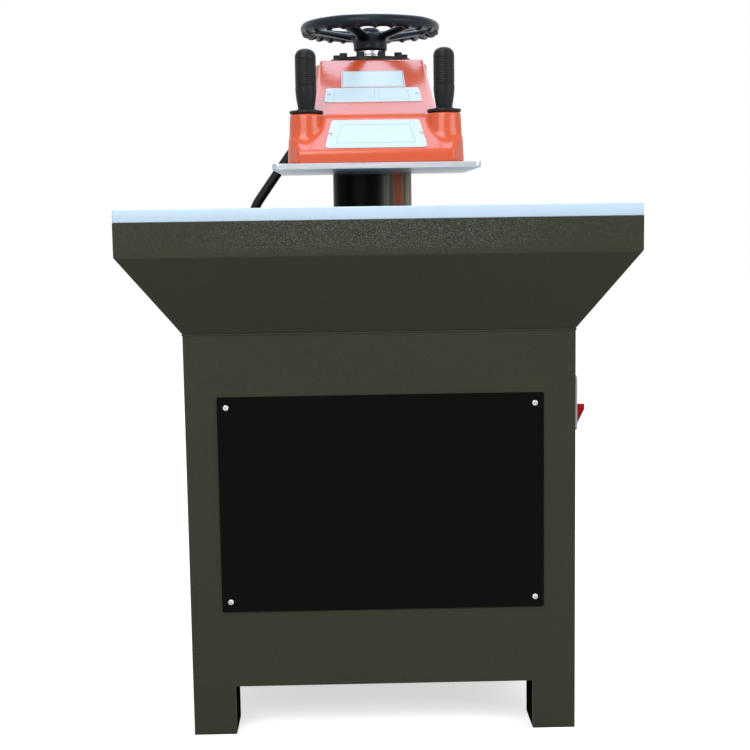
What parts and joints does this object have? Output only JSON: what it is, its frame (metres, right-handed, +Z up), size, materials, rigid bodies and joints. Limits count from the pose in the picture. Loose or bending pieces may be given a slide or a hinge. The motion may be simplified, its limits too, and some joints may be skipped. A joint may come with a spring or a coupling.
{
  "type": "leather die cutting press",
  "caption": "Floor-standing hydraulic swing-arm press: flared cabinet with a cutting board, and a column-mounted arm with a striking plate, push-button grips and a handwheel for height.",
  "frame": {"origin": "on the floor under the middle of the press", "axes": "+Z up, +X to the user's right, the front of the table faces -Y"},
  "size_m": [0.9, 0.76, 1.3378],
  "materials": {
    "cabinet_paint": "dark olive textured paint, satin",
    "bed_steel": "ground steel",
    "board_plastic": "white cutting board, matte",
    "cover_black": "black powder coat, satin",
    "bright_steel": "bright zinc plate",
    "dark_cast": "dark painted casting",
    "bush_bronze": "turned bronze",
    "black_rubber": "black rubber",
    "black_steel": "black oxide steel",
    "machined_steel": "machined steel",
    "chrome_steel": "hard chrome",
    "column_steel": "dark oiled steel",
    "arm_red": "orange-red gloss paint",
    "platen_metal": "milled aluminium",
    "wheel_black": "black moulded gloss",
    "grip_black": "black ribbed plastic",
    "plate_silver": "blank anodised plate",
    "tank_grey": "grey paint",
    "motor_blue": "blue-grey paint",
    "pump_alloy": "cast alloy",
    "black_plastic": "black nylon",
    "switch_grey": "light grey plastic",
    "switch_red": "red plastic"
  },
  "bodies": {
    "frame": {"front_plate": "cabinet_paint", "left_side_plate": "cabinet_paint", "right_side_plate": "cabinet_paint", "rear_plate": "cabinet_paint", "base_plate": "cabinet_paint", "hopper_front": "cabinet_paint", "hopper_left": "cabinet_paint", "hopper_right": "cabinet_paint", "leg_plates": "cabinet_paint", "foot_plates": "cabinet_paint", "bed_plate": "bed_steel", "bed_ribs": "cabinet_paint", "cutting_board": "board_plastic", "deck_plate": "cabinet_paint", "front_cover": "cover_black", "rear_cover": "cover_black", "cover_screws": "bright_steel", "guide_housing": "dark_cast", "guide_bushes": "bush_bronze", "wiper_ring": "black_rubber", "guide_bolts": "black_steel", "cylinder_head": "dark_cast", "cylinder_tube": "dark_cast", "return_spring": "machined_steel", "oil_tank": "tank_grey", "motor_body": "motor_blue", "bell_housing": "dark_cast", "pump_body": "pump_alloy", "valve_block": "machined_steel", "solenoid": "black_plastic", "oil_pipes": "machined_steel", "switch_base": "switch_grey", "control_panel": "switch_grey", "mains_gland": "black_plastic", "conduit_grommet": "black_rubber"},
    "piston": {"piston": "machined_steel", "piston_rod": "chrome_steel"},
    "carrier": {"thrust_bearing": "bright_steel", "conduit": "black_rubber"},
    "arm": {"column": "column_steel", "arm_casting": "arm_red", "platen": "platen_metal", "platen_screws": "machined_steel", "top_cap": "black_steel", "top_cap_bolts": "black_steel", "handle_flanges": "black_steel", "left_grip": "grip_black", "right_grip": "grip_black", "name_plate": "plate_silver", "slope_plates": "plate_silver", "plate_screws": "bright_steel", "conduit_gland": "black_plastic"},
    "handwheel": {"handwheel": "wheel_black", "adjusting_screw": "machined_steel", "wheel_nut": "bright_steel"},
    "left_button": {"left_button": "grip_black"},
    "right_button": {"right_button": "grip_black"},
    "switch_handle": {"switch_handle": "switch_red"},
    "drive_shaft": {"drive_shaft": "machined_steel"},
    "valve_spool": {"valve_spool": "chrome_steel"}
  },
  "joints": [
    {"name": "press_stroke", "type": "slide", "parent": "frame", "child": "piston", "axis": [0, 0, 1], "range_m": [-0.05, 0], "stiffness_N_per_m": 20000, "springref_m": 0.12, "deforming": ["return_spring", "conduit"]},
    {"name": "height_adjust", "type": "slide", "parent": "piston", "child": "carrier", "axis": [0, 0, 1], "range_m": [-0.012, 0.058], "deforming": ["conduit"]},
    {"name": "arm_swing", "type": "hinge", "parent": "carrier", "child": "arm", "pos_m": [0, 0.22, 1.1], "axis": [0, 0, 1], "range_deg": [-60, 60], "deforming": ["conduit"]},
    {"name": "handwheel_turn", "type": "hinge", "parent": "carrier", "child": "handwheel", "pos_m": [0, 0.22, 1.325], "axis": [0, 0, 1], "range_deg": [-720, 3480]},
    {"name": "left_button_press", "type": "slide", "parent": "arm", "child": "left_button", "axis": [0, 0, -1], "range_m": [0, 0.004], "stiffness_N_per_m": 800, "springref_m": -0.003},
    {"name": "right_button_press", "type": "slide", "parent": "arm", "child": "right_button", "axis": [0, 0, -1], "range_m": [0, 0.004], "stiffness_N_per_m": 800, "springref_m": -0.003},
    {"name": "main_switch_turn", "type": "hinge", "parent": "frame", "child": "switch_handle", "pos_m": [0.368, -0.2, 0.569], "axis": [1, 0, 0], "range_deg": [0, 90]},
    {"name": "drive_shaft_spin", "type": "hinge", "parent": "frame", "child": "drive_shaft", "pos_m": [-0.1, -0.182, 0.436], "axis": [1, 0, 0], "continuous": true},
    {"name": "valve_shift", "type": "slide", "parent": "frame", "child": "valve_spool", "axis": [1, 0, 0], "range_m": [-0.004, 0.004], "stiffness_N_per_m": 2000}
  ],
  "couplings": [
    {"joint": "height_adjust", "follows": "handwheel_turn", "m_per_rad": 0.00095493}
  ]
}
